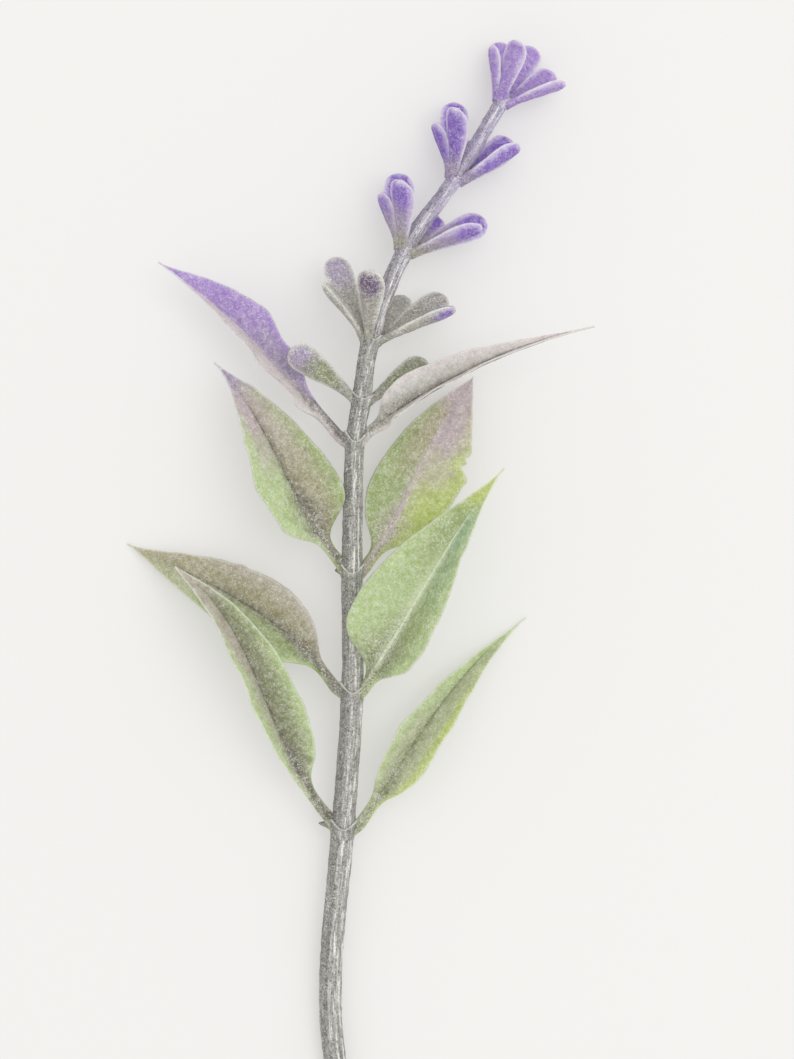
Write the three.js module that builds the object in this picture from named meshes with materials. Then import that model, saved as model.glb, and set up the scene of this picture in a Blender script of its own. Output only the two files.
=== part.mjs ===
// A moulded lavender flower spike lying on a flat surface: one stem, four opposite
// pairs of leaves and five whorls of paddle-shaped buds, each pair or whorl held to
// the stem by a small ring-shaped collar.
// Millimetres. +Z is up from the surface, +Y runs along the stem from its cut end to
// the flowering tip, and the origin is on the surface under the middle of the spike.
import * as THREE from "three";

// ---------------------------------------------------------------- driving dimensions
const GAP = 0.3; // free space kept between two neighbouring pieces
const STEM_SIDES = 12;
const STEM_STEPS = 6; // sections between two stations
const STEM_SQUARENESS = 2.6; // 2 is round, more is squarer
const LEAF_SIDES = 12;
const LEAF_STEPS = 18;
const BUD_SIDES = 10;
const BUD_STEPS = 9;
const COLLAR_SIDES = 16;

const MIDRIB_HANDLE = 0.35; // how far a midrib keeps a bearing, over its foot to tip distance
const LEAF_THICKNESS = 0.7;
const PETIOLE_WIDTH = 1.5;
const PETIOLE_THICKNESS = 1.3;
const STALK_WIDTH = 1.1; // the narrow foot of a bud
const FOOT_LIFT = 0.25; // keeps a slanting foot clear of the collar's rim
const BUD_SWELL = 0.62; // the share of its length where a bud reaches its full width
const BUD_FLATNESS = 0.42; // a bud's thickness over its width
const HEAD_LENGTH = 0.52; // the rounded head of a bud, over its width
const RING_CROWDING = 1.7; // above 1 puts more of a bud's sections near its head

// Stations along the stem: the middle of the stem there, and its radius.
const STATIONS = {
  cut_end: { at: [1, -93.2, 1.735], radius: 1.65 },
  low_bend: { at: [-4, -69.5, 2.3], radius: 1.65 },
  bow: { at: [-4.5, -56.5, 2.9], radius: 1.65 },
  leaves_1: { at: [-2.5, -33, 4.2], radius: 1.7 },
  leaves_2: { at: [-1, -11, 5.8], radius: 1.6 },
  leaves_3: { at: [-1, 8, 6.9], radius: 1.5 },
  leaves_4: { at: [-0.5, 29, 7.8], radius: 1.35 },
  buds_1: { at: [0.5, 35.5, 8], radius: 1.35 },
  buds_2: { at: [2, 45, 8.1], radius: 1.3 },
  buds_3: { at: [7.5, 59.5, 7.4], radius: 1.2 },
  buds_4: { at: [15.5, 71, 6.7], radius: 1.05 },
  buds_5: { at: [23, 83.5, 5.6], radius: 0.95 },
  tip: { at: [23.75, 84.7, 5.5], radius: 0.6 },
};

// Collars: how far a ring reaches down and up the stem from its station, and how far
// its lower and upper rims stand off the stem.
const LEAF_COLLAR = { down: 1.4, up: 1.1, lower: 0.35, upper: 0.55 };
const BUD_COLLAR = { down: 1.2, up: 0.9, lower: 0.35, upper: 0.6 };
const SEAT_DEPTH = 0.35; // how far the stem is reduced inside a ring
const COLLAR_FIT = 0.3; // free space between the stem's corners and a ring's bore

// Leaves: foot and tip are measured from the middle of the pair's station. The midrib
// sets off from the foot and arrives at the tip on given bearings, each a heading in
// plan, counted from +X towards +Y, and a rise above the level. Each half of a blade has
// its greatest width, its belly and its taper: a low belly is full near the stalk, and a
// high taper draws the tip out. Fold lifts both halves out of flat, and roll turns the
// whole blade about its midrib. The blade begins at petiole, a share of the length.
const LEAVES = {
  leaf_1_left: {
    foot: [-2.5, 2, 0.4], setsOff: [130, 10], arrives: [145, 5], tip: [-26.5, 42, 7],
    left: [4, 0.6, 0.7], right: [6, 0.6, 1.3], fold: 40, roll: -20, petiole: 0.14,
  },
  leaf_1_right: {
    foot: [3, 1, 0.2], setsOff: [55, 0], arrives: [35, -10], tip: [29.5, 33.5, -4],
    left: [4.5, 0.6, 1.8], right: [5, 0.4, 1.2], fold: 40, roll: 0, petiole: 0.12,
  },
  leaf_2_left: {
    foot: [-3, 1, 0], setsOff: [125, 0], arrives: [155, -15], tip: [-36.5, 23.5, -5.6],
    left: [6, 0.6, 1.2], right: [6, 0.7, 1.4], fold: 22, roll: -12, petiole: 0.12,
  },
  leaf_2_right: {
    foot: [2.3, 1, 1], setsOff: [57, 20], arrives: [52, 10], tip: [24, 35.5, 10.7],
    left: [9, 0.5, 1.4], right: [8, 0.6, 1.6], fold: 30, roll: 25, petiole: 0.05,
  },
  leaf_3_left: {
    foot: [-2.2, 2, 0.4], setsOff: [130, 10], arrives: [135, -10], tip: [-22, 33.5, 0.7],
    left: [7, 0.6, 1.5], right: [7.5, 0.4, 1.3], fold: 25, roll: -20, petiole: 0.12,
  },
  leaf_3_right: {
    foot: [2.5, 1.5, -0.5], setsOff: [53, 0], arrives: [50, -5], tip: [19.5, 31.5, -3.7],
    left: [6.5, 0.6, 1.2], right: [7.5, 0.8, 1], fold: 12, roll: 0, petiole: 0.08,
  },
  leaf_4_left: {
    foot: [-2.8, 1, -0.2], setsOff: [130, -5], arrives: [145, 5], tip: [-31.5, 28.5, -0.8],
    left: [6, 0.4, 1.8], right: [5, 1.4, 1.4], fold: 40, roll: -30, petiole: 0.14,
  },
  leaf_4_right: {
    foot: [2.3, 1.5, 0.4], setsOff: [35, 10], arrives: [12, -5], tip: [38, 18, 1.6],
    left: [4.5, 0.4, 1.7], right: [4.5, 0.4, 1.5], fold: 50, roll: 35, petiole: 0.05,
  },
};

// Buds: heading and rise are a bud's bearing, as for the leaves, and reach is from the
// middle of the stem to its tip. A bud's flat faces look away from the stem and back at
// it, unless spin turns them.
const WHORLS = {
  buds_1: {
    width: 4.2,
    buds: {
      left: { heading: 145, rise: 10, reach: 14, spin: 70 },
      right: { heading: 30, rise: -10, reach: 12.5, spin: 55 },
    },
  },
  buds_2: {
    width: 4.1,
    buds: {
      left: { heading: 130, rise: 25, reach: 12.5, spin: -25 },
      front: { heading: 90, rise: 40, reach: 13.5, spin: 0 },
      right: { heading: 20, rise: 10, reach: 14.5, spin: 0 },
      back_right: { heading: 30, rise: -15, reach: 14.5, spin: 60 },
      back: { heading: 55, rise: -40, reach: 12, spin: 0 },
      back_left: { heading: 115, rise: -10, reach: 15, spin: -65 },
    },
  },
  buds_3: {
    width: 4.1,
    buds: {
      left: { heading: 115, rise: 15, reach: 10, spin: 0 },
      front: { heading: 95, rise: 40, reach: 13, spin: 0 },
      right: { heading: 15, rise: 15, reach: 13, spin: 0 },
      back_right: { heading: 20, rise: -10, reach: 14, spin: 60 },
      back: { heading: 50, rise: -40, reach: 10.5, spin: 0 },
      back_left: { heading: 95, rise: -15, reach: 13, spin: -65 },
    },
  },
  buds_4: {
    width: 3.9,
    buds: {
      left: { heading: 110, rise: 15, reach: 9.5, spin: 0 },
      front: { heading: 90, rise: 40, reach: 13, spin: 0 },
      right: { heading: 25, rise: 10, reach: 11.5, spin: 0 },
      back_right: { heading: 35, rise: -15, reach: 11.5, spin: 60 },
      back: { heading: 55, rise: -40, reach: 10, spin: 0 },
      back_left: { heading: 90, rise: -15, reach: 13, spin: -65 },
    },
  },
  buds_5: {
    width: 3.3,
    buds: {
      left: { heading: 100, rise: 10, reach: 9, spin: 0 },
      front: { heading: 75, rise: 30, reach: 10.5, spin: 0 },
      right: { heading: 15, rise: 5, reach: 10.5, spin: 0 },
      back_right: { heading: 30, rise: -20, reach: 10.5, spin: 50 },
      back: { heading: 60, rise: -25, reach: 12, spin: 0 },
      back_left: { heading: 90, rise: -25, reach: 11, spin: -50 },
    },
  },
};

// ---------------------------------------------------------------------- materials
const plastic = (color) => new THREE.MeshStandardMaterial({ color, roughness: 0.8, metalness: 0 });
const STEM_GREY = plastic("#8d8b84");
const COLLAR_GREY = plastic("#86857a");
const LEAF_COLOURS = {
  leaf_1: plastic("#93a36d"),
  leaf_2: plastic("#9db080"),
  leaf_3: plastic("#a3a477"),
  leaf_4: plastic("#98839f"),
};
const BUD_COLOURS = {
  buds_1: plastic("#8c8e7c"),
  buds_2: plastic("#8a8782"),
  buds_3: plastic("#8a79a4"),
  buds_4: plastic("#8b6fb8"),
  buds_5: plastic("#9277c0"),
};

// ------------------------------------------------------------------- small helpers
const UP = new THREE.Vector3(0, 0, 1);
const rad = THREE.MathUtils.degToRad;
const lerp = THREE.MathUtils.lerp;
const smooth = THREE.MathUtils.smoothstep;

/** A closed drum whose skin is moved to place(along, turn, out): along runs 0 to 1 from
 * foot to head, turn goes round, and out is 0 in the middle of an end and 1 on the skin. */
function mould(sides, steps, place) {
  const drum = new THREE.CylinderGeometry(1, 1, 1, sides, steps);
  const skin = drum.getAttribute("position");
  for (let i = 0; i < skin.count; i++) {
    const x = skin.getX(i);
    const z = skin.getZ(i);
    const along = skin.getY(i) + 0.5;
    const moved = place(along, Math.atan2(x, z), Math.hypot(x, z) > 0.5 ? 1 : 0);
    skin.setXYZ(i, moved.x, moved.y, moved.z);
  }
  drum.computeVertexNormals();
  return drum;
}

/** The sideways and upward directions square to a heading that is never upright. */
function crossAxes(direction) {
  const right = direction.clone().cross(UP).normalize();
  const up = right.clone().cross(direction);
  return { right, up };
}

/** The direction of a heading in plan and a rise above the level, in degrees. */
function bearing(heading, rise) {
  const level = Math.cos(rad(rise));
  return new THREE.Vector3(
    level * Math.cos(rad(heading)),
    level * Math.sin(rad(heading)),
    Math.sin(rad(rise)),
  );
}

/** A named mesh in its own material. */
function piece(name, geometry, material) {
  const mesh = new THREE.Mesh(geometry, material);
  mesh.name = name;
  return mesh;
}

// ------------------------------------------------------------------------- the stem
const stationNames = Object.keys(STATIONS);
const COLLARED = {
  leaves_1: LEAF_COLLAR,
  leaves_2: LEAF_COLLAR,
  leaves_3: LEAF_COLLAR,
  leaves_4: LEAF_COLLAR,
  buds_1: BUD_COLLAR,
  buds_2: BUD_COLLAR,
  buds_3: BUD_COLLAR,
  buds_4: BUD_COLLAR,
  buds_5: BUD_COLLAR,
};
const stemCurve = new THREE.CatmullRomCurve3(
  stationNames.map((name) => new THREE.Vector3(...STATIONS[name].at)),
);

/** Where a station sits on the stem: its middle, the stem's direction and its radius. */
function station(name) {
  const share = stationNames.indexOf(name) / (stationNames.length - 1);
  return {
    middle: stemCurve.getPoint(share),
    direction: stemCurve.getTangent(share),
    radius: STATIONS[name].radius,
  };
}

/** The stem's radius at a share of the way through its stations, away from any seat. */
function fullRadius(share) {
  const at = share * (stationNames.length - 1);
  const below = Math.min(Math.floor(at), stationNames.length - 2);
  const [from, to] = [stationNames[below], stationNames[below + 1]];
  return lerp(STATIONS[from].radius, STATIONS[to].radius, at - below);
}

/** The share reached by going a distance along the stem from another share. */
function shareAlong(share, distance) {
  const step = Math.sign(distance) * 0.0002;
  let at = share;
  let point = stemCurve.getPoint(at);
  for (let gone = 0; gone < Math.abs(distance) && at + step < 1; ) {
    at += step;
    const next = stemCurve.getPoint(at);
    gone += next.distanceTo(point);
    point = next;
  }
  return at;
}

/** The stem's sections from end to end, each a share and a radius. The stem is reduced
 * under each ring, with a short shoulder below and above the seat. */
function stemSections() {
  const spans = stationNames.length - 1;
  const seats = Object.entries(COLLARED).map(([name, { down, up }]) => {
    const share = stationNames.indexOf(name) / spans;
    return [-down - 0.4, -down - 0.2, up + 0.1, up + 0.3].map((mm) => shareAlong(share, mm));
  });
  const sections = [];
  for (let k = 0; k <= spans * STEM_STEPS; k++) {
    const share = k / (spans * STEM_STEPS);
    const inSeat = seats.some(([first, , , last]) => share > first - 0.001 && share < last + 0.001);
    if (!inSeat) sections.push({ share, radius: fullRadius(share) });
  }
  for (const [first, seatStart, seatEnd, last] of seats) {
    sections.push({ share: first, radius: fullRadius(first) });
    sections.push({ share: seatStart, radius: fullRadius(seatStart) - SEAT_DEPTH });
    sections.push({ share: seatEnd, radius: fullRadius(seatEnd) - SEAT_DEPTH });
    if (last < 0.999) sections.push({ share: last, radius: fullRadius(last) });
  }
  return sections.sort((a, b) => a.share - b.share);
}

/** How far the corners of the squared section reach, over the stem's radius. */
const SQUARED_REACH = 1.05;

/** A rounded square with an edge on top, as a radius that varies with the turn. */
function squared(turn) {
  const quarter = turn + Math.PI / 4;
  const sum = Math.abs(Math.cos(quarter)) ** STEM_SQUARENESS + Math.abs(Math.sin(quarter)) ** STEM_SQUARENESS;
  return sum ** (-1 / STEM_SQUARENESS) * 0.97;
}

function stem() {
  const sections = stemSections();
  const skin = mould(STEM_SIDES, sections.length - 1, (along, turn, out) => {
    const { share, radius } = sections[Math.round(along * (sections.length - 1))];
    const { right, up } = crossAxes(stemCurve.getTangent(share));
    const reach = out * radius * squared(turn);
    return stemCurve
      .getPoint(share)
      .addScaledVector(right, reach * Math.sin(turn))
      .addScaledVector(up, reach * Math.cos(turn));
  });
  return piece("stem", skin, STEM_GREY);
}

// ---------------------------------------------------------------------- the collars
/** A ring that flares up the stem, turned to stand square to the stem at its station. */
function collar(name, stationName, shape) {
  const { middle, direction, radius } = station(stationName);
  const bore = (radius - SEAT_DEPTH) * SQUARED_REACH + COLLAR_FIT;
  const profile = [
    new THREE.Vector2(bore, -shape.down),
    new THREE.Vector2(radius + shape.lower, -shape.down),
    new THREE.Vector2(radius + shape.upper, shape.up * 0.4),
    new THREE.Vector2(radius + shape.upper, shape.up),
    new THREE.Vector2(bore, shape.up),
    new THREE.Vector2(bore, -shape.down),
  ];
  const ring = piece(name, new THREE.LatheGeometry(profile, COLLAR_SIDES), COLLAR_GREY);
  ring.position.copy(middle);
  ring.quaternion.setFromUnitVectors(new THREE.Vector3(0, 1, 0), direction);
  return ring;
}

// ----------------------------------------------------------------------- the leaves
/** The share of its full width that a blade has, a share of the way along it. */
function outline(share, belly, taper) {
  const widest = belly / (belly + taper);
  const full = widest ** belly * (1 - widest) ** taper;
  return (share ** belly * (1 - share) ** taper) / full;
}

/** A midrib that sets off from its foot and arrives at its tip on the leaf's bearings. */
function midribOf(stationName, shape) {
  const { middle } = station(stationName);
  const foot = new THREE.Vector3(...shape.foot).add(middle);
  const tip = new THREE.Vector3(...shape.tip).add(middle);
  const handle = MIDRIB_HANDLE * foot.distanceTo(tip);
  const afterFoot = foot.clone().addScaledVector(bearing(...shape.setsOff), handle);
  const beforeTip = tip.clone().addScaledVector(bearing(...shape.arrives), -handle);
  return new THREE.CubicBezierCurve3(foot, afterFoot, beforeTip, tip);
}

function leaf(name, shape) {
  const pair = name.split("_")[1];
  const midrib = midribOf(`leaves_${pair}`, shape);
  const fold = rad(shape.fold);
  const roll = rad(shape.roll);
  const skin = mould(LEAF_SIDES, LEAF_STEPS, (along, turn, out) => {
    const across = out * Math.sin(turn); // -1 left margin, 1 right margin
    const face = out * Math.cos(turn); // above 0 on the upper face
    const blade = smooth(along, shape.petiole * 0.8, shape.petiole + 0.08);
    const share = THREE.MathUtils.clamp((along - shape.petiole * 0.8) / (1 - shape.petiole * 0.8), 0, 0.995);
    const [full, belly, taper] = across < 0 ? shape.left : shape.right;
    const half = full * outline(share, belly, taper);
    const width = Math.max(lerp(PETIOLE_WIDTH / 2, half, blade), 0.25);
    const blunt = 1 - 0.5 * smooth(along, 0.9, 1);
    const thick = 0.5 * blunt * lerp(PETIOLE_THICKNESS, LEAF_THICKNESS, blade);
    const axes = crossAxes(midrib.getTangent(along));
    const right = axes.right.clone().multiplyScalar(Math.cos(roll)).addScaledVector(axes.up, Math.sin(roll));
    const up = axes.up.clone().multiplyScalar(Math.cos(roll)).addScaledVector(axes.right, -Math.sin(roll));
    const lift = fold * blade;
    return midrib
      .getPoint(along)
      .addScaledVector(right, across * width * Math.cos(lift))
      .addScaledVector(up, Math.abs(across) * width * Math.sin(lift))
      .addScaledVector(up, Math.sign(face) * Math.sqrt(Math.abs(face)) * thick);
  });
  return piece(name, skin, LEAF_COLOURS[`leaf_${pair}`]);
}

// ------------------------------------------------------------------------- the buds
/** A paddle along +Y: narrow at its foot, broad and round at its head, flat in Z. */
function paddle(length, width) {
  const headLength = HEAD_LENGTH * width;
  return mould(BUD_SIDES, BUD_STEPS, (share, turn, out) => {
    const along = length * (1 - (1 - share) ** RING_CROWDING);
    const swell = smooth(along, 0, BUD_SWELL * length);
    const head = Math.max((along - length + headLength) / headLength, 0);
    const round = Math.sqrt(Math.max(1 - head ** 2, 0.04));
    const half = 0.5 * lerp(STALK_WIDTH, width, swell) * round;
    const thick = 0.5 * lerp(STALK_WIDTH, width * BUD_FLATNESS, swell) * round;
    return new THREE.Vector3(out * half * Math.sin(turn), along, out * thick * Math.cos(turn));
  });
}

/** A bud that stands on the rim of its whorl's collar and points at its own tip. */
function bud(name, stationName, width, { heading, rise, reach, spin }) {
  const { middle, direction, radius } = station(stationName);
  const toTip = bearing(heading, rise).multiplyScalar(reach);
  const outward = toTip.clone().addScaledVector(direction, -toTip.dot(direction)).normalize();
  const foot = direction
    .clone()
    .multiplyScalar(BUD_COLLAR.up + GAP + FOOT_LIFT)
    .addScaledVector(outward, radius + GAP + STALK_WIDTH / 2);
  const along = toTip.clone().sub(foot);
  const length = along.length();
  along.normalize();
  const face = outward.addScaledVector(along, -outward.dot(along)).normalize();
  const across = along.clone().cross(face);
  const mesh = piece(name, paddle(length, width), BUD_COLOURS[stationName]);
  mesh.position.copy(middle).add(foot);
  mesh.quaternion.setFromRotationMatrix(new THREE.Matrix4().makeBasis(across, along, face));
  mesh.rotateY(rad(spin));
  return mesh;
}

// ------------------------------------------------------------------------ the spike
const spike = new THREE.Group();
spike.name = "lavender_flower_spike";
spike.add(stem());

for (const pair of [1, 2, 3, 4]) {
  spike.add(collar(`leaf_collar_${pair}`, `leaves_${pair}`, LEAF_COLLAR));
}
for (const [name, shape] of Object.entries(LEAVES)) spike.add(leaf(name, shape));

for (const [whorl, { width, buds }] of Object.entries(WHORLS)) {
  const number = whorl.slice("buds_".length);
  spike.add(collar(`bud_collar_${number}`, whorl, BUD_COLLAR));
  for (const [side, shape] of Object.entries(buds)) {
    spike.add(bud(`bud_${number}_${side}`, whorl, width, shape));
  }
}

export default spike;
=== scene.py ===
"""The finished look of a moulded lavender flower spike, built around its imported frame.

The spike lies on a flat surface: a bent stem, four opposite pairs of folded leaves and
five whorls of paddle-shaped buds, each on a small collar. Every piece is a soft plastic
moulding with a dry, chalky frosting. Lengths in the tables are millimetres.
"""

import math

import bpy
import numpy as np
from bpy.props import FloatProperty, FloatVectorProperty, PointerProperty
from bpy.types import Operator, Panel, PropertyGroup
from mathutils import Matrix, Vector, noise


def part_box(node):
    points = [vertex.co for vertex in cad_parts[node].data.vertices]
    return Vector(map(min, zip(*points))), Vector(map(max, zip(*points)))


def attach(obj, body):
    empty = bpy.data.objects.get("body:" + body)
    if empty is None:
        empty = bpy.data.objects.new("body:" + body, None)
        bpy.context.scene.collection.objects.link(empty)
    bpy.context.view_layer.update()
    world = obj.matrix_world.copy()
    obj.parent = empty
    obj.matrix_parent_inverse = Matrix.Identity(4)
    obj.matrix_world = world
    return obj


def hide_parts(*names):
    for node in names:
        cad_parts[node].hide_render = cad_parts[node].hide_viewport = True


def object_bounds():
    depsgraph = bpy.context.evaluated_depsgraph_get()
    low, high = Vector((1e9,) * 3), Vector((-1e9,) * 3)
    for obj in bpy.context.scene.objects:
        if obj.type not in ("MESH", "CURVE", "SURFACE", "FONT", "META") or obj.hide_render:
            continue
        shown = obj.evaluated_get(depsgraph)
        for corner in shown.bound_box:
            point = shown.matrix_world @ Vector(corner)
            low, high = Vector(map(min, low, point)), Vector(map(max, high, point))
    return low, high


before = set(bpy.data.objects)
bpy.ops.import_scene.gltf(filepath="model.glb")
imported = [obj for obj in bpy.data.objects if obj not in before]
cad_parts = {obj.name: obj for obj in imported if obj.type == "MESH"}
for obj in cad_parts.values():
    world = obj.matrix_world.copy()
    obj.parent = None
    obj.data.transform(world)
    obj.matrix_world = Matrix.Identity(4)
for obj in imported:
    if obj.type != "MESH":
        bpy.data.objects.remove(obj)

bl_info = {
    "name": "Lavender Spike",
    "version": (1, 0, 0),
    "blender": (4, 5, 0),
    "location": "3D View > Sidebar > Lavender",
    "description": "Builds a frosted, moulded lavender flower spike around its frame",
    "category": "Object",
}

CAD_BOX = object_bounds()
MM = 0.001
BODY = "root"
STRAY = 3.4  # how far, in mm, a piece may reach past the box of the node it stands for
FLOOR = 0.02  # the least height, in mm, of any point of a leaf, a bud or the stem
SQUARENESS = 2.6  # of the stem's section: 2 is round, more is squarer

# ------------------------------------------------------------------ the spike's layout
# Stations along the stem: the stem's middle there, and its radius.
STATIONS = {
    "cut_end": ((1, -93.2, 1.735), 1.65),
    "low_bend": ((-4, -69.5, 2.3), 1.65),
    "bow": ((-4.5, -56.5, 2.9), 1.65),
    "leaves_1": ((-2.5, -33, 4.2), 1.7),
    "leaves_2": ((-1, -11, 5.8), 1.6),
    "leaves_3": ((-1, 8, 6.9), 1.5),
    "leaves_4": ((-0.5, 29, 7.8), 1.35),
    "buds_1": ((0.5, 35.5, 8), 1.35),
    "buds_2": ((2, 45, 8.1), 1.3),
    "buds_3": ((7.5, 59.5, 7.4), 1.2),
    "buds_4": ((15.5, 71, 6.7), 1.05),
    "buds_5": ((23, 83.5, 5.6), 0.95),
    "tip": ((23.75, 84.7, 5.5), 0.6),
}
STATION_NAMES = list(STATIONS)

# Leaves: foot and tip are measured from the middle of the pair's station. The midrib sets
# off from the foot and arrives at the tip on given bearings, each a heading in plan,
# counted from +X towards +Y, and a rise above the level. Then come each half's greatest
# width, its belly and its taper, the fold that lifts both halves, the roll about the
# midrib, the share of the length that is stalk, and the midrib's relief on the upper
# face, raised above 0 or sunk below.
LEAVES = {
    "leaf_1_left": {
        "foot": (-2.5, 2, 0.4), "sets_off": (130, 10), "arrives": (145, 5), "tip": (-26.5, 42, 7),
        "left": (4, 0.6, 0.7), "right": (6, 0.6, 1.3),
        "fold": 40, "roll": -20, "petiole": 0.14, "rib": -0.12,
    },
    "leaf_1_right": {
        "foot": (3, 1, 0.2), "sets_off": (55, 0), "arrives": (35, -10), "tip": (29.5, 33.5, -4),
        "left": (4.5, 0.6, 1.8), "right": (5, 0.4, 1.2),
        "fold": 40, "roll": 0, "petiole": 0.12, "rib": -0.1,
    },
    "leaf_2_left": {
        "foot": (-3, 1, 0), "sets_off": (125, 0), "arrives": (155, -15), "tip": (-36.5, 23.5, -5.6),
        "left": (6, 0.6, 1.2), "right": (6, 0.7, 1.4),
        "fold": 22, "roll": -12, "petiole": 0.12, "rib": -0.2,
    },
    "leaf_2_right": {
        "foot": (2.3, 1, 1), "sets_off": (57, 20), "arrives": (52, 10), "tip": (24, 35.5, 10.7),
        "left": (9, 0.5, 1.4), "right": (8, 0.6, 1.6),
        "fold": 30, "roll": 25, "petiole": 0.05, "rib": 0.3,
    },
    "leaf_3_left": {
        "foot": (-2.2, 2, 0.4), "sets_off": (130, 10), "arrives": (135, -10), "tip": (-22, 33.5, 0.7),
        "left": (7, 0.6, 1.5), "right": (7.5, 0.4, 1.3),
        "fold": 25, "roll": -20, "petiole": 0.12, "rib": -0.22,
    },
    "leaf_3_right": {
        "foot": (2.5, 1.5, -0.5), "sets_off": (53, 0), "arrives": (50, -5), "tip": (19.5, 31.5, -3.7),
        "left": (6.5, 0.6, 1.2), "right": (7.5, 0.8, 1),
        "fold": 12, "roll": 0, "petiole": 0.08, "rib": 0.12,
    },
    "leaf_4_left": {
        "foot": (-2.8, 1, -0.2), "sets_off": (130, -5), "arrives": (145, 5), "tip": (-31.5, 28.5, -0.8),
        "left": (6, 0.4, 1.8), "right": (5, 1.4, 1.4),
        "fold": 40, "roll": -30, "petiole": 0.14, "rib": 0.1,
    },
    "leaf_4_right": {
        "foot": (2.3, 1.5, 0.4), "sets_off": (35, 10), "arrives": (12, -5), "tip": (38, 18, 1.6),
        "left": (4.5, 0.4, 1.7), "right": (4.5, 0.4, 1.5),
        "fold": 50, "roll": 35, "petiole": 0.05, "rib": -0.15,
    },
}
MIDRIB_HANDLE = 0.35  # how far a midrib keeps a bearing, over its foot to tip distance

# The paint of each zone of a leaf, by the names of the settings: its foot, the lower and
# upper part of its left half, the same of its right half, its tip, its left and right
# margins, and its midrib.
LEAF_ZONES = ("Foot", "Left Low", "Left High", "Right Low", "Right High", "Tip", "Left Margin",
              "Right Margin", "Rib")
LEAF_PAINTS = {
    "leaf_1_left": ("bark", "sage", "clay", "moss", "moss", "clay", "mint", "mint", "bark"),
    "leaf_1_right": ("moss", "sage", "mint", "sage", "sage", "mint", "mint", "lime", "moss"),
    "leaf_2_left": ("bark", "fern", "sage", "olive", "olive", "olive", "mint", "clay", "bark"),
    "leaf_2_right": ("moss", "mint", "fern", "fern", "seafoam", "lime", "mint", "mint", "cream"),
    "leaf_3_left": ("bark", "mint", "rose", "olive", "clay", "heather", "mint", "fern", "bark"),
    "leaf_3_right": ("clay", "fern", "olive", "lime", "rose", "rose", "fern", "lime", "rose"),
    "leaf_4_left": ("bark", "blush", "blush", "heather", "violet", "violet", "blush", "violet", "heather"),
    "leaf_4_right": ("slate", "ash", "blush", "clay", "ash", "rose", "blush", "blush", "bark"),
}

# Buds: heading and rise are a bud's bearing, as for the leaves, reach is from the stem's
# middle to the tip, and spin turns the flat faces, which otherwise look away from the
# stem and back at it.
WHORLS = {
    1: (4.2, {
        "left": (145, 10, 14, 70),
        "right": (30, -10, 12.5, 55),
    }),
    2: (4.1, {
        "left": (130, 25, 12.5, -25),
        "front": (90, 40, 13.5, 0),
        "right": (20, 10, 14.5, 0),
        "back_right": (30, -15, 14.5, 60),
        "back": (55, -40, 12, 0),
        "back_left": (115, -10, 15, -65),
    }),
    3: (4.1, {
        "left": (115, 15, 10, 0),
        "front": (95, 40, 13, 0),
        "right": (15, 15, 13, 0),
        "back_right": (20, -10, 14, 60),
        "back": (50, -40, 10.5, 0),
        "back_left": (95, -15, 13, -65),
    }),
    4: (3.9, {
        "left": (110, 15, 9.5, 0),
        "front": (90, 40, 13, 0),
        "right": (25, 10, 11.5, 0),
        "back_right": (35, -15, 11.5, 60),
        "back": (55, -40, 10, 0),
        "back_left": (90, -15, 13, -65),
    }),
    5: (3.3, {
        "left": (100, 10, 9, 0),
        "front": (75, 30, 10.5, 0),
        "right": (15, 5, 10.5, 0),
        "back_right": (30, -20, 10.5, 50),
        "back": (60, -25, 12, 0),
        "back_left": (90, -25, 11, -50),
    }),
}

# The paint of each zone of a whorl's buds: foot, core, flange and head.
BUD_ZONES = ("Foot", "Core", "Flange", "Head")
BUD_PAINTS = {
    1: ("slate", "moss", "ash", "heather"),
    2: ("slate", "slate", "ash", "heather"),
    3: ("slate", "heather", "lilac", "grape"),
    4: ("heather", "grape", "lilac", "grape"),
    5: ("violet", "violet", "lilac", "violet"),
}

# Which buds differ from their whorl: another paint for the head and how far along it
# starts, and a strength for the head's paint.
HEAD_START = 0.5
OTHER_HEADS = {
    "bud_2_front": ("plum", 0.52),
    "bud_2_right": ("grape", 0.6),
    "bud_1_left": ("heather", 0.56),
    "bud_2_back_left": ("heather", 0.48),
}
VIOLET_HEADS = {
    "bud_1_left": 1.0, "bud_1_right": 0.1,
    "bud_2_left": 0.0, "bud_2_front": 1.0, "bud_2_right": 1.0, "bud_2_back_right": 0.15,
    "bud_2_back": 0.1, "bud_2_back_left": 0.9,
    "bud_3_left": 0.75,
}

# How far a collar reaches down and up the stem from its station. A bud's foot starts
# above its collar, and outside the stem by a gap and half of its stalk.
LEAF_COLLAR = {"down": 1.4, "up": 1.1}
BUD_COLLAR = {"down": 1.2, "up": 0.9}
FOOT_LIFT = 0.25
FOOT_GAP = 0.3
FOOT_STALK = 1.1
COLLAR_STAND = 0.42  # how far a collar's rim stands off the stem

# The stage, in metres: the surface, the even light of the room, one soft lamp above and
# to the right, and the camera. The camera's place is counted from the middle of the
# frame's box, and its height from the surface.
SURFACE_REACH = 1.5
SURFACE_SHADE = 0.6  # over the paint, because the surface also glows
SURFACE_GLOW = 0.34
ROOM_COLOUR = (1.0, 0.998, 0.992)
ROOM_LIGHT = 0.9
LAMP_PLACE = (0.55, 0.2, 1.4)
LAMP_SIZE = 1.3
LAMP_POWER = 5.5
CAMERA_ASIDE = (0.00621, 0.01491)
CAMERA_HEIGHT = 0.456
CAMERA_LENS = 95.6
SENSOR_WIDTH = 36.0


# ---------------------------------------------------------------------- settings
def tone(red, green, blue):
    """A screen colour, 0 to 255, as the linear values that Blender holds."""
    def linear(value):
        value /= 255.0
        return value / 12.92 if value <= 0.04045 else ((value + 0.055) / 1.055) ** 2.4
    return (linear(red), linear(green), linear(blue))


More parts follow.
